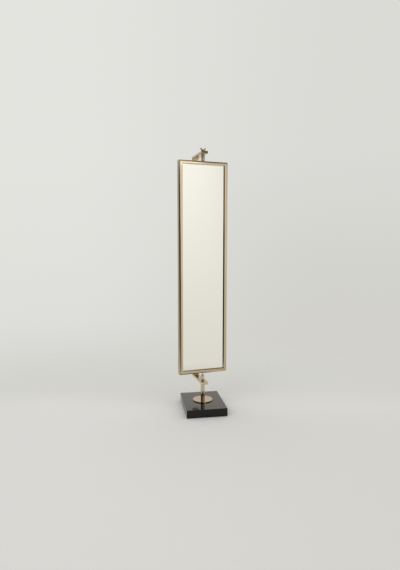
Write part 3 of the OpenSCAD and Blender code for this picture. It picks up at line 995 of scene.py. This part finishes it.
@dataclass
class MirrorPanel(SubAssembly):
    """Frame, glass, board and pivots, which swivel as one.

    Attributes:
        face: width of the frame's front face.
        lip: depth of its fold at the glass.
        corner: radius of its outer fold.
        lip_corner: radius of its inner fold.
        glass_in: how far the glass is inside the frame's outer edge.
        glass_front: how far it is behind the frame's face.
        board_back: how far behind the face the board ends.
        screw_in: how far the screws are inside the frame's outer edge.
        side_screws_from: how far the first screw of a side is from its end.
        end_screws_off: how far the screws at top and bottom are from the middle.
        screw_twist: how far each screw is turned more than the one before, in radians.
        recess_over: how far the recess's cutter stands out of the head.
        collar: how far below the frame the sides of the pin's collar line start and end.
        thread_tip: share of the stud's radius that is left at its top.
        to_middle: matrix that turns a piece and lifts it to the frame's middle.
    """

    width: float = 350 * MM
    height: float = 1472 * MM
    depth: float = 46 * MM
    face: float = 24 * MM
    lip: float = 12 * MM
    sheet: float = 2 * MM
    corner: float = 10 * MM
    lip_corner: float = 2.5 * MM
    corner_steps: int = 16
    lip_steps: int = 8
    seam: float = 0.25 * MM
    glass_in: float = 12.25 * MM
    glass_front: float = 13 * MM
    glass_t: float = 5 * MM
    arris: float = 0.6 * MM
    board_back: float = 24 * MM
    retainer_t: float = 1.5 * MM
    screw_in: float = 7 * MM
    side_screws: int = 4
    side_screws_from: float = 130 * MM
    end_screws_off: float = 96 * MM
    head_r: float = 3.75 * MM
    head_h: float = 2.2 * MM
    shank_r: float = 2 * MM
    shank_tip_r: float = 1.7 * MM
    shank_l: float = 6 * MM
    shank_taper: float = 1 * MM
    recess_over: float = 0.02 * MM
    screw_twist: float = 0.7
    pin_r: float = 4.5 * MM
    collar_deep: float = 0.4 * MM
    collar: tuple[float, ...] = (2.4 * MM, 2 * MM, 1.2 * MM, 0.8 * MM)
    spacer_r: float = 12 * MM
    spacer_bore_r: float = 5.05 * MM
    stud_r: float = 5 * MM
    stud_chamfer: float = 0.6 * MM
    thread_pitch: float = 1.5 * MM
    thread_depth: float = 0.85 * MM
    thread_run_out: float = 0.9 * MM
    thread_tip: float = 0.86
    rings_per_pitch: int = 10
    stud_around: int = 48
    bottom: float = field(init=False)
    top: float = field(init=False)
    to_middle: Matrix = field(init=False)

    def __post_init__(self) -> None:
        """Takes the frame's height above the floor from the CAD model."""
        self.bottom, self.top = self.span("frame_left")
        self.to_middle = self.turn @ Matrix.Translation((0, 0, (self.bottom + self.top) / 2))

    def build(self) -> None:
        """Makes the frame, glass, screws and pivots, and dresses the rest."""
        for quarter, (name, node, finish) in enumerate((
            ("frame_left_side", "frame_left", BRASS_UP), ("frame_bottom", "frame_bottom_rail", BRASS_ACROSS),
            ("frame_right_side", "frame_right", BRASS_UP), ("frame_top", "frame_top_rail", BRASS_ACROSS),
        )):
            self.member(name, node, quarter, finish)
        self.glass()
        self.screws()
        self.pin()
        self.spacer()
        self.stud()
        self.dress("glass_seal", finish=RUBBER)
        self.dress("backing_board", finish=BOARD)
        self.dress("edge_blocks", "lower_pivot_block", "upper_pivot_block", finish=BRASS_RAW)
        self.dress("retainers", finish=ZINC)
        self.dress("stud_slip_washer", finish=NYLON)

    def section(self, inset: float) -> Outline:
        """Outline of the folded sheet: distance from the outer edge, and depth from the face.

        Args:
            inset: how far the outline lies inside the sheet's own surface.

        Returns:
            The closed outline.
        """
        s, f, d, c = self.sheet, self.face, self.depth, self.corner
        lip_c = self.lip_corner
        outside = [(inset, d - inset)] + arc((c, c), c - inset, 180.0, 270.0, self.corner_steps)
        lip_side = arc((f - lip_c, lip_c), lip_c - inset, 270.0, 360.0, self.lip_steps)
        lip_side.append((f - inset, self.lip - inset))
        inside = [(f - s + inset, self.lip - inset), (f - s + inset, s - inset)]
        return_side = arc((c, c), c - s + inset, 270.0, 180.0, self.corner_steps) + [(s - inset, d - inset)]
        return outside + lip_side + inside + return_side

    def member(self, name: str, node: str, quarter: int, finish: Finish) -> None:
        """One mitred member of the frame.

        Args:
            name: the piece's name.
            node: the CAD node that it stands for.
            quarter: 0 left, 1 bottom, 2 right, 3 top.
            finish: its finish, with the grain along the member.
        """
        half_w, half_h = self.width / 2, self.height / 2
        across, along = (half_w, half_h) if quarter % 2 == 0 else (half_h, half_w)
        full, sunk = self.section(0.0), self.section(self.seam)
        stations = ((sunk, -1, 0.0), (full, -1, self.seam), (full, 1, self.seam), (sunk, 1, 0.0))
        rings = [
            [Vector((s - across, t - self.depth / 2, sign * (along - s - short))) for s, t in outline]
            for outline, sign, short in stations
        ]
        bm = bmesh.new()
        skin(bm, rings, caps=True)
        piece = as_object(name, bm, self.to_middle @ Matrix.Rotation(-quarter * math.pi / 2, 4, "Y"))
        self.fit(piece, "mirror", "frame_brass", finish, stands_for=node)

    def glass(self) -> None:
        """Sheet with a ground arris: silvered in front, green at its edges, painted behind."""
        w, h = self.width - 2 * self.glass_in, self.height - 2 * self.glass_in
        front = self.glass_front - self.depth / 2
        arris, thick = self.arris, self.glass_t
        rings = []
        for inset, depth in ((arris, 0.0), (0.0, arris), (0.0, thick - arris), (arris, thick)):
            a, b = w / 2 - inset, h / 2 - inset
            rings.append([Vector((x, front + depth, z)) for x, z in ((-a, -b), (a, -b), (a, b), (-a, b))])
        bm = bmesh.new()
        skin(bm, rings, caps=True)
        for face in bm.faces:
            face.material_index = 1
        bm.faces.ensure_lookup_table()
        # The caps come last, front before back.
        bm.faces[-2].material_index = 0
        bm.faces[-1].material_index = 2
        piece = as_object("mirror_sheet", bm, self.to_middle)
        self.fit(piece, "mirror", "silvered_glass", MIRROR, GLASS_EDGE, BACK_PAINT, stands_for="mirror_glass")

    def screw_places(self) -> list[Vector]:
        """Where the retainer screws sit.

        Returns:
            The middle of each screw's head, before the mirror is turned.
        """
        pitch = (self.height - 2 * self.side_screws_from) / (self.side_screws - 1)
        lowest = self.bottom + self.side_screws_from
        off = self.width / 2 - self.screw_in
        y = self.board_back + self.retainer_t - self.depth / 2
        sides = [
            Vector((side * off, y, lowest + i * pitch)) for side in (-1, 1) for i in range(self.side_screws)
        ]
        ends = [
            Vector((side * self.end_screws_off, y, z))
            for side in (-1, 1) for z in (self.bottom + self.screw_in, self.top - self.screw_in)
        ]
        return sides + ends

    def screws(self) -> None:
        """Pan-head screws with a cross recess."""
        r, h, tip = self.head_r, self.head_h, -self.shank_l
        dome = fillet([(r, 0.0), (r, 0.55 * h), (0.62 * r, 0.95 * h), (0.0, h)], 0.3 * r)
        shank = [
            (0.0, tip), (self.shank_tip_r, tip), (self.shank_r, tip + self.shank_taper), (self.shank_r, 0.0),
            (r, 0.0),
        ]
        # Half length and half width of the recess's arms, which taper to its floor.
        long, slim = 0.62 * r, 0.16 * r
        quadrant = [(slim, slim), (slim, long), (-slim, long)]
        cross = []
        for _ in range(4):
            cross += quadrant
            quadrant = [(-y, x) for x, y in quadrant]
        floor = [Vector((0.55 * x, 0.55 * y, 0.45 * h)) for x, y in cross]
        rim = [Vector((x, y, h + self.recess_over)) for x, y in cross]
        bm = bmesh.new()
        for number, spot in enumerate(self.screw_places()):
            screw = bmesh.new()
            revolve(screw, shank + dome[1:], around=48)
            cutter = bmesh.new()
            skin(cutter, [floor, rim], caps=True)
            cut = self.carved(screw, cutter)
            twist = Matrix.Rotation(self.screw_twist * number, 4, "Z")
            cut.transform(Matrix.Translation(spot) @ Matrix.Rotation(-math.pi / 2, 4, "X") @ twist)
            bm.from_mesh(cut)
            bpy.data.meshes.remove(cut)
        piece = as_object("pan_head_screws", bm, self.turn)
        self.fit(piece, "mirror", "zinc_steel", ZINC, stands_for="retainer_screws")

    @staticmethod
    def carved(solid: WorkMesh, cutter: WorkMesh) -> bpy.types.Mesh:
        """The first mesh with the second cut out of it.

        Args:
            solid: the mesh to cut, which is freed.
            cutter: the mesh that cuts, which is freed.

        Returns:
            A new mesh.
        """
        objects = []
        for bm in (solid, cutter):
            bmesh.ops.remove_doubles(bm, verts=bm.verts, dist=SAME_POINT)
            bmesh.ops.recalc_face_normals(bm, faces=bm.faces)
            mesh = bpy.data.meshes.new("work")
            bm.to_mesh(mesh)
            bm.free()
            made = bpy.data.objects.new("work", mesh)
            bpy.context.scene.collection.objects.link(made)
            objects.append(made)
        cut = objects[0].modifiers.new("cut", "BOOLEAN")
        cut.object = objects[1]
        cut.solver = "EXACT"
        bpy.context.view_layer.update()
        evaluated = objects[0].evaluated_get(bpy.context.evaluated_depsgraph_get())
        result = bpy.data.meshes.new_from_object(evaluated)
        for made in objects:
            mesh = made.data
            bpy.data.objects.remove(made)
            bpy.data.meshes.remove(mesh)
        return result

    def pin(self) -> None:
        """Turned pin below the frame, with a collar line at the frame."""
        low, high = self.span("lower_pin")
        r, sunk = self.pin_r, self.pin_r - self.collar_deep
        heights = [self.bottom - off for off in self.collar]
        line = list(zip((r, sunk, sunk, r), heights))
        bm = bmesh.new()
        corners = [(0.0, low), (r, low)] + line + [(r, high), (0.0, high)]
        revolve(bm, fillet(corners, BROKEN_EDGE, steps=3), around=64)
        self.fit(as_object("turned_pin", bm), "mirror", "turned_brass", BRASS_TURNED, stands_for="lower_pin")

    def spacer(self) -> None:
        """Turned spacer with a ring cut in near each end."""
        low, high = self.span("upper_spacer")
        bore = [(self.spacer_bore_r, high), (self.spacer_bore_r, low)]
        piece = turned_piece("turned_spacer", grooved_side(self.spacer_r, low, high) + bore)
        self.fit(piece, "mirror", "turned_brass", BRASS_TURNED, stands_for="upper_spacer")

    def stud(self) -> None:
        """Stud with a rounded thread from the slip washer to its top."""
        low, high = self.span("upper_stud")
        start = self.span("stud_slip_washer")[1]
        r, around = self.stud_r, self.stud_around
        rings = [[Vector((0, 0, low))] * around]
        shank = [(r - self.stud_chamfer, low), (r, low + self.stud_chamfer), (r, start)]
        angles = [math.tau * i / around for i in range(around)]
        rings += [[Vector((s * math.cos(a), s * math.sin(a), z)) for a in angles] for s, z in shank]
        count = int((high - start) / self.thread_pitch * self.rings_per_pitch)
        for k in range(1, count + 1):
            z = start + (high - start) * k / count
            fade = min(1.0, (high - z) / self.thread_run_out)
            ring = []
            for a in angles:
                phase = ((z - start) / self.thread_pitch - a / math.tau) % 1.0
                tooth = 0.5 - 0.5 * math.cos(math.tau * phase)
                s = (r - self.thread_depth * tooth) * (self.thread_tip + (1 - self.thread_tip) * fade)
                ring.append(Vector((s * math.cos(a), s * math.sin(a), z)))
            rings.append(ring)
        rings.append([Vector((0, 0, high))] * around)
        bm = bmesh.new()
        skin(bm, rings)
        piece = as_object("threaded_stud", bm, self.turn, sharp_deg=60)
        self.fit(piece, "mirror", "turned_brass", BRASS_TURNED, stands_for="upper_stud")


@dataclass
class Clamp(SubAssembly):
    """The wing nut on top.

    Attributes:
        half_span: distance from the axis to an ear's tip.
        wing_h: height of the ears' tips.
        root_out: how far outside the hub's top an ear's root is.
        waist: how much an ear narrows halfway.
        root_half_t_mm: half its thickness at the root.
        taper_mm: how much of that is gone at the tip.
        end: share of the tip's width that its last oval keeps.
        voxel: size of the grid on which hub and ears are melted together.
        ease: how strongly each round of smoothing works.
    """

    hub_r: float = 9 * MM
    hub_top_r: float = 7.25 * MM
    hub_h: float = 12 * MM
    hub_edge: float = 0.9 * MM
    half_span: float = 20.2 * MM
    wing_h: float = 23.8 * MM
    root_out: float = 0.6 * MM
    root_half_w: float = 4.6 * MM
    waist: float = 0.6 * MM
    root_half_t_mm: float = 3.6
    taper_mm: float = 1.5
    tip_r: float = 6.0 * MM
    tip_half_t: float = 2.1 * MM
    end: float = 0.02
    stretches: int = 8
    tip_steps: int = 7
    ear_around: int = 24
    voxel: float = 0.4 * MM
    ease: float = 0.5
    ease_rounds: int = 7

    def build(self) -> None:
        """Casts the nut from its hub and two ears, melted into each other."""
        low, _ = self.span("wing_nut")
        bm = bmesh.new()
        hub = [
            (0.0, 0.0), (self.hub_r, 0.0), (self.hub_r, 0.22 * self.hub_h),
            (self.hub_top_r, 0.5 * self.hub_h), (self.hub_top_r, self.hub_h), (0.0, self.hub_h),
        ]
        revolve(bm, fillet(hub, self.hub_edge, steps=3), around=64)
        for side in (-1, 1):
            self.ear(bm, side)
        rough = as_object("wing_nut_rough", bm)
        rough.modifiers.clear()
        melt = rough.modifiers.new("melt", "REMESH")
        melt.mode = "VOXEL"
        melt.voxel_size = self.voxel
        ease = rough.modifiers.new("ease", "SMOOTH")
        ease.factor = self.ease
        ease.iterations = self.ease_rounds
        bpy.context.view_layer.update()
        mesh = bpy.data.meshes.new_from_object(rough.evaluated_get(bpy.context.evaluated_depsgraph_get()))
        bpy.data.objects.remove(rough)
        cast = bmesh.new()
        cast.from_mesh(mesh)
        bpy.data.meshes.remove(mesh)
        base = min(v.co.z for v in cast.verts)
        bmesh.ops.translate(cast, vec=(0, 0, low - base), verts=cast.verts)
        piece = as_object("cast_wing_nut", cast, self.turn, sharp_deg=70)
        self.fit(piece, "wing_nut", "nut_brass", BRASS_CAST, stands_for="wing_nut")

    def ear(self, bm: WorkMesh, side: int) -> None:
        """One ear: flat ovals that grow from the hub up to a round tip.

        Args:
            bm: the working mesh that gets it.
            side: -1 or 1, the side of the hub that it grows from.
        """
        root = Vector((self.hub_top_r + self.root_out, 0.5 * self.hub_h))
        tip = Vector((self.half_span - self.tip_r, self.wing_h - self.tip_r))
        run = (tip - root).normalized()
        normal = Vector((-run.y, run.x))
        # Middle of each oval, half its width and half its thickness.
        ovals = []
        for k in range(self.stretches + 1):
            t = k / self.stretches
            wide = (1 - t) * self.root_half_w + t * self.tip_r - self.waist * math.sin(math.pi * t)
            ovals.append((root + (tip - root) * t, wide, (self.root_half_t_mm - self.taper_mm * t) * MM))
        for k in range(1, self.tip_steps + 1):
            a = math.pi / 2 * k / self.tip_steps
            left = max(math.cos(a), self.end)
            middle = tip + run * self.tip_r * math.sin(a)
            ovals.append((middle, self.tip_r * left, self.tip_half_t * left**0.6))
        rings = []
        angles = [math.tau * i / self.ear_around for i in range(self.ear_around)]
        for centre, wide, thick in ovals:
            flats = [(centre + normal * wide * math.cos(a), thick * math.sin(a)) for a in angles]
            rings.append([Vector((side * flat.x, off, flat.y)) for flat, off in flats])
        skin(bm, rings, caps=True)


def room_ramp(tones: Tones, tint: str) -> list[tuple[float, Colour]]:
    """Stops for a colour ramp from light levels, each at a height from -1, the floor, to 1, the ceiling."""
    red, green, blue, _ = linear(tint)
    return [(0.5 + 0.5 * at, (tone * red, tone * green, tone * blue, 1.0)) for at, tone in tones]


@dataclass(frozen=True)
class Panel:
    """A wall or light of the room that polished metal mirrors.

    Azimuths are degrees from the front, positive to the right. Heights are -1 straight down,
    0 level and 1 straight up. An edge is where the panel starts and where it is complete.

    Attributes:
        left: azimuth of its left edge.
        right: azimuth of its right edge.
        low: height of its lower edge.
        high: height of its upper edge.
        tones: its light levels, each at a height.
        tint: their colour.
        lean: how far the left edge leans to the left, in degrees for each unit of height.
        lean_to: the height where that ends.
        tilt: how far the lower and upper edges climb for each degree to the right.
    """

    left: Pair
    right: Pair
    low: Pair
    high: Pair
    tones: Tones
    tint: str = "#ffffff"
    lean: float = 0.0
    lean_to: float = 0.2
    tilt: float = 0.0

    def over(self, tree: Tree, azimuth: Socket, height: Socket, level: Socket, under: Socket) -> Socket:
        """Lays the panel over what is already in the room.

        Args:
            tree: the world's node tree.
            azimuth: azimuth of the ray.
            height: height of the ray.
            level: height of the ray from 0 to 1.
            under: colour of the room so far.

        Returns:
            Colour of the room with the panel in it.
        """
        rise = add_node(tree, "ShaderNodeClamp", {"Value": height, "Max": self.lean_to}).outputs[0]
        leaned = add_node(
            tree, "ShaderNodeMath", {0: rise, 1: self.lean, 2: azimuth}, operation="MULTIPLY_ADD",
        ).outputs[0]
        tilted = add_node(
            tree, "ShaderNodeMath", {0: azimuth, 1: -self.tilt, 2: height}, operation="MULTIPLY_ADD",
        ).outputs[0]
        share: float | Socket = 1.0
        for value, edge in (
            (leaned, self.left), (azimuth, self.right), (tilted, self.low), (tilted, self.high),
        ):
            step = add_node(
                tree, "ShaderNodeMapRange", {"Value": value, "From Min": edge[0], "From Max": edge[1]},
                interpolation_type="SMOOTHSTEP",
            )
            share = add_node(
                tree, "ShaderNodeMath", {0: share, 1: step.outputs[0]}, operation="MULTIPLY",
            ).outputs[0]
        tone = add_node(tree, "ShaderNodeValToRGB", {0: level}, ramp=room_ramp(self.tones, self.tint))
        return add_node(
            tree, "ShaderNodeMix", {0: share, 6: under, 7: tone.outputs[0]}, data_type="RGBA",
        ).outputs[2]


# Edges of panels that go all the way.
ANY_LEFT = (-182.0, -181.0)
ANY_RIGHT = (182.0, 181.0)
ANY_LOW = (-1.2, -1.1)

# Warm tone of whatever stands in the dark part of the room.
DIM_TINT = "#ffdcac"
# Tone of the back wall.
WALL_TINT = "#fff9f0"
# The room's dark front and left, with a dim ceiling.
DARK_ROOM: Tones = (
    (-1.0, 0.5), (-0.26, 0.38), (-0.2, 0.2), (-0.12, 0.08), (0.0, 0.05), (0.14, 0.06), (0.17, 0.14),
    (0.2, 0.12), (0.22, 0.12), (0.25, 0.3), (0.33, 0.3), (0.42, 0.16), (0.7, 0.2), (1.0, 0.32),
)
# The brightest part of the back wall, with a darker band below it.
WALL_TOP: Tones = ((0.305, 0.6), (0.324, 1.04), (0.45, 1.04), (0.6, 0.7))
# The whole back wall, left and right.
LEFT_BACK: Tones = (
    (-0.3, 0.5), (-0.2, 0.52), (-0.12, 0.54), (0.0, 0.54), (0.16, 0.46), (0.19, 0.5), (0.2, 0.84),
) + WALL_TOP
RIGHT_BACK: Tones = ((-0.3, 0.66), (0.0, 0.76), (0.2, 0.7)) + WALL_TOP
ROOM_PANELS = (
    # A grey cornice all round.
    Panel(ANY_LEFT, ANY_RIGHT, (0.172, 0.187), (0.202, 0.198), ((0.0, 0.5), (1.0, 0.5)), "#e6ebf7"),
    # The floor in the distance.
    Panel(ANY_LEFT, ANY_RIGHT, ANY_LOW, (-0.22, -0.29), ((-1.0, 0.6), (-0.26, 0.42)), "#fffaf2"),
    # A dark screen beside the camera, down to the floor.
    Panel((-42.0, -30.0), (18.0, 8.0), (-0.36, -0.28), (0.185, 0.15), ((0.0, 0.05), (1.0, 0.05)), DIM_TINT),
    # The dark ceiling above it.
    Panel((-100.0, -80.0), (22.0, 10.0), (0.21, 0.23), (0.7, 0.5), ((0.0, 0.07), (1.0, 0.07)), DIM_TINT),
    # The long light wall on the right, from its near edge to the back.
    Panel(
        (12.0, 22.0), ANY_RIGHT, ANY_LOW, (0.195, 0.188),
        ((-1.0, 0.6), (-0.3, 0.74), (-0.17, 0.77), (0.0, 0.74), (0.1, 0.66), (0.17, 0.52), (0.2, 0.46)),
        lean=290.0,
    ),
    # The brightest stretch of it, next to the near edge.
    Panel(
        (12.0, 22.0), (42.0, 24.5), ANY_LOW, (0.195, 0.188),
        (
            (-0.3, 0.74), (-0.17, 0.778), (-0.056, 0.846), (0.06, 0.915), (0.16, 0.985), (0.18, 0.995),
            (0.1825, 0.66), (0.2, 0.6),
        ),
        lean=290.0,
    ),
    # Darker wall on either side of that stretch, down to the floor.
    Panel((18.0, 20.0), (25.2, 24.9), ANY_LOW, (-0.05, -0.1), ((-0.3, 0.56), (-0.22, 0.6), (-0.13, 0.68))),
    Panel((30.6, 30.9), (44.0, 38.0), ANY_LOW, (-0.05, -0.1), ((-0.3, 0.44), (-0.25, 0.5), (-0.13, 0.66))),
    # The floor at its foot, whose far edge runs aslant.
    Panel(
        (12.0, 20.0), (46.0, 38.0), ANY_LOW, (-0.3287, -0.3299), ((-0.32, 0.38), (-0.28, 0.33)), tilt=0.0017,
    ),
    # A post in front of the screen, a little less dark.
    Panel((-18.0, -15.0), (-8.0, -11.0), (0.03, 0.07), (0.196, 0.186), ((0.0, 0.2), (1.0, 0.2)), DIM_TINT),
    # A narrow light along the top of the wall.
    Panel((5.0, 12.0), (28.6, 26.6), (0.1815, 0.184), (0.195, 0.19), ((0.1, 2.0), (0.3, 2.0))),
    # A skylight ahead.
    Panel((5.0, 12.0), (28.2, 26.4), (0.285, 0.33), (0.97, 0.85), ((0.0, 2.2), (1.0, 2.2))),
    # The back wall, right and left.
    Panel((120.0, 150.0), ANY_RIGHT, ANY_LOW, (0.95, 0.6), RIGHT_BACK, WALL_TINT),
    Panel(ANY_LEFT, (-136.0, -160.0), ANY_LOW, (0.95, 0.6), LEFT_BACK, WALL_TINT),
)


@dataclass
class Studio:
    """Floor, room, lamp and camera.

    Attributes:
        floor_rings: radii of the floor's rings.
        floor_depth: distances along the view where the floor's tones start and end.
        floor_tones_and_painted_light: its colours, from 0 at the near one to 1 at the far one. They hold
            painted light:
        a little lighter round the base, against the shade that it casts, and a darker band behind it,
        painted shade where a wall would meet the floor.
        floor_ends_seen: where the floor fades into the background, seen directly.
        floor_ends_mirrored: where it does in reflections.
        left_backdrop_painted_light: colours of the background on the left, each at a height. They are painted
            light:
            lighter towards the top, and darkest in a band low down, painted shade where a wall would meet the
            floor.
        right_backdrop_painted_light: the same on the right, painted dimmer than the left, as light from the
            left falls across the wall.
        sides_meet: where the left side gives way to the right one.
        room_light: level of the even light.
    """

    focal_px: float = 430.0
    width_px: float = 400.0
    height_px: float = 570.0
    middle_px: Pair = (200.0, 284.5)
    sensor_mm: float = 36.0
    eye: tuple[float, float, float] = (-0.5082, -2.9551, 1.1536)
    yaw: float = -9.3816
    pitch: float = 5.1059
    roll: float = 0.0421
    floor_rings: tuple[float, ...] = (0.0, 1.0, 3.0, 30.0)
    floor_around: int = 128
    floor_depth: Pair = (-1.0, 4.0)
    # The floor's colours hold painted light: lighter round the base, against the shade that it casts, and
    # darker in a band about 0.35 m behind it, painted shade where a wall would meet the floor.
    floor_tones_and_painted_light: Hues = (
        (0.0, "#d6d5d1"), (0.14, "#d7d6d2"), (0.20, "#dad9d5"), (0.27, "#d5d4cf"), (0.36, "#d5d5d0"),
        (0.54, "#d8d8d3"),
    )
    floor_ends_seen: Pair = (0.9, 2.6)
    floor_ends_mirrored: Pair = (0.7, 1.3)
    # Background colours with painted light: lighter on the left and towards the top, and darkest in a band
    # low down, painted shade where a wall would meet the floor.
    left_backdrop_painted_light: Hues = (
        (-0.45, "#d6d5d1"), (-0.36, "#d3d2cd"), (-0.31, "#cfd0cb"), (-0.235, "#d7d8d3"), (-0.17, "#dddeda"),
        (-0.02, "#e1e2dd"), (0.2, "#e3e4df"),
    )
    right_backdrop_painted_light: Hues = (
        (-0.45, "#d4d2cd"), (-0.31, "#d3d1cc"), (-0.235, "#d2d0cb"), (-0.17, "#d2d1cc"), (-0.02, "#d4d4cf"),
        (0.2, "#dadbd6"),
    )
    sides_meet: Pair = (-0.15, 0.45)
    room_light: float = 0.965
    lamp_power: float = 9.0
    lamp_size: float = 1.4
    lamp_at: tuple[float, float, float] = (-2.1, -1.7, 2.4)
    lamp_aim: tuple[float, float, float] = (0.0, 0.0, 0.6)

    def camera(self) -> None:
        """Camera at the photograph's angle, with its principal point."""
        data = bpy.data.cameras.new("camera")
        long_side = max(self.width_px, self.height_px)
        data.sensor_width = self.sensor_mm
        data.lens = self.sensor_mm * self.focal_px / long_side
        data.shift_x = (self.width_px / 2 - self.middle_px[0]) / long_side
        data.shift_y = (self.middle_px[1] - self.height_px / 2) / long_side
        data.clip_start, data.clip_end = 0.05, 200.0
        camera = bpy.data.objects.new("camera", data)
        yaw, pitch, roll = (math.radians(a) for a in (self.yaw, self.pitch, self.roll))
        look = Matrix.Rotation(yaw, 4, "Z") @ Matrix.Rotation(math.pi / 2 - pitch, 4, "X")
        camera.matrix_world = Matrix.Translation(self.eye) @ (look @ Matrix.Rotation(roll, 4, "Z"))
        bpy.context.scene.collection.objects.link(camera)
        bpy.context.scene.camera = camera

    def floor(self) -> None:
        """Pale floor with painted light and shade in its colour, which gives way to the background in the
        distance.
        """
        bm = bmesh.new()
        revolve(bm, [(radius, 0.0) for radius in self.floor_rings], self.floor_around)
        floor = as_object("floor", bm)
        made = bpy.data.materials.new("pale_floor_with_painted_light")
        made.use_nodes = True
        tree = made.node_tree
        tree.nodes.clear()
        place = add_node(tree, "ShaderNodeTexCoord").outputs["Object"]
        distance = add_node(tree, "ShaderNodeVectorMath", {0: place}, operation="LENGTH").outputs["Value"]
        squared = add_node(
            tree, "ShaderNodeMapping", {"Vector": place, "Rotation": (0.0, 0.0, math.radians(-self.yaw))},
        )
        depth = add_node(tree, "ShaderNodeSeparateXYZ", {0: squared.outputs[0]}).outputs["Y"]
        near, far = self.floor_depth
        along = add_node(tree, "ShaderNodeMapRange", {"Value": depth, "From Min": near, "From Max": far})
        # Painted light and shade of the floor, along the view.
        tones = [(at, linear(code)) for at, code in self.floor_tones_and_painted_light]
        colour = add_node(tree, "ShaderNodeValToRGB", {0: along.outputs[0]}, ramp=tones).outputs[0]
        lit = add_node(tree, "ShaderNodeBsdfDiffuse", {"Color": colour}).outputs[0]
        clear = add_node(tree, "ShaderNodeBsdfTransparent").outputs[0]
        path = add_node(tree, "ShaderNodeLightPath")
        gone: list[Socket] = []
        for ends, rays in (
            (self.floor_ends_seen, "Is Camera Ray"), (self.floor_ends_mirrored, "Is Glossy Ray"),
        ):
            fade = add_node(
                tree, "ShaderNodeMapRange", {"Value": distance, "From Min": ends[0], "From Max": ends[1]},
                interpolation_type="SMOOTHSTEP",
            )
            share = add_node(
                tree, "ShaderNodeMath", {0: fade.outputs[0], 1: path.outputs[rays]}, operation="MULTIPLY",
            )
            gone.append(share.outputs[0])
        either = add_node(tree, "ShaderNodeMath", {0: gone[0], 1: gone[1]}, operation="ADD").outputs[0]
        surface = add_node(tree, "ShaderNodeMixShader", {0: either, 1: lit, 2: clear}).outputs[0]
        add_node(tree, "ShaderNodeOutputMaterial", {"Surface": surface})
        floor.data.materials.append(made)

    def room(self) -> None:
        """World: an even light, a pale background with painted light and shade on it, and the room that
        polished metal mirrors.
        """
        world = bpy.data.worlds.new("room")
        bpy.context.scene.world = world
        world.use_nodes = True
        tree = world.node_tree
        tree.nodes.clear()
        direction = add_node(tree, "ShaderNodeTexCoord").outputs["Generated"]
        axes = add_node(tree, "ShaderNodeSeparateXYZ", {0: direction})
        height = axes.outputs["Z"]
        front = add_node(tree, "ShaderNodeMath", {0: axes.outputs["Y"], 1: -1.0}, operation="MULTIPLY")
        radians = add_node(
            tree, "ShaderNodeMath", {0: axes.outputs["X"], 1: front.outputs[0]}, operation="ARCTAN2",
        )
        azimuth = add_node(tree, "ShaderNodeMath", {0: radians.outputs[0]}, operation="DEGREES").outputs[0]
        level = add_node(tree, "ShaderNodeMapRange", {"Value": height, "From Min": -1.0}).outputs[0]
        dark = add_node(tree, "ShaderNodeValToRGB", {0: level}, ramp=room_ramp(DARK_ROOM, DIM_TINT))
        mirrored = dark.outputs[0]
        for panel in ROOM_PANELS:
            mirrored = panel.over(tree, azimuth, height, level, mirrored)
        # The background seen directly, with painted light: lighter on the left and towards the top.
        sides = []
        for tones in (self.left_backdrop_painted_light, self.right_backdrop_painted_light):
            stops = [(0.5 + 0.5 * at, linear(code)) for at, code in tones]
            sides.append(add_node(tree, "ShaderNodeValToRGB", {0: level}, ramp=stops).outputs[0])
        left_ends, right_starts = self.sides_meet
        across = add_node(
            tree, "ShaderNodeMapRange",
            {"Value": axes.outputs["X"], "From Min": left_ends, "From Max": right_starts},
            interpolation_type="SMOOTHSTEP",
        )
        path = add_node(tree, "ShaderNodeLightPath")
        colour = grey(self.room_light)
        background = add_node(
            tree, "ShaderNodeMix", {0: across.outputs[0], 6: sides[0], 7: sides[1]}, data_type="RGBA",
        ).outputs[2]
        for rays, instead in (("Is Glossy Ray", mirrored), ("Is Camera Ray", background)):
            colour = add_node(
                tree, "ShaderNodeMix", {0: path.outputs[rays], 6: colour, 7: instead}, data_type="RGBA",
            ).outputs[2]
        surface = add_node(tree, "ShaderNodeBackground", {"Color": colour}).outputs[0]
        add_node(tree, "ShaderNodeOutputWorld", {"Surface": surface})

    def lamp(self) -> None:
        """One large soft lamp at the front left."""
        data = bpy.data.lights.new("softbox", "AREA")
        data.shape = "RECTANGLE"
        data.size = data.size_y = self.lamp_size
        data.energy = self.lamp_power
        lamp = bpy.data.objects.new("softbox", data)
        aim = Vector(self.lamp_aim) - Vector(self.lamp_at)
        facing = aim.to_track_quat("-Z", "Y").to_matrix().to_4x4()
        lamp.matrix_world = Matrix.Translation(self.lamp_at) @ facing
        lamp.visible_glossy = False
        bpy.context.scene.collection.objects.link(lamp)

    def build(self) -> None:
        """Sets up the whole studio."""
        self.camera()
        self.floor()
        self.room()
        self.lamp()
        bpy.context.scene.view_settings.view_transform = "Standard"
        LOG.info("studio is set")


def main() -> None:
    """Builds the studio and every sub-assembly in order."""
    logging.basicConfig(level=logging.INFO, format="%(message)s")
    Studio().build()
    for assembly in (Base(), Bracket(), MirrorPanel(), Clamp()):
        assembly.build()


if __name__ == "__main__":
    main()
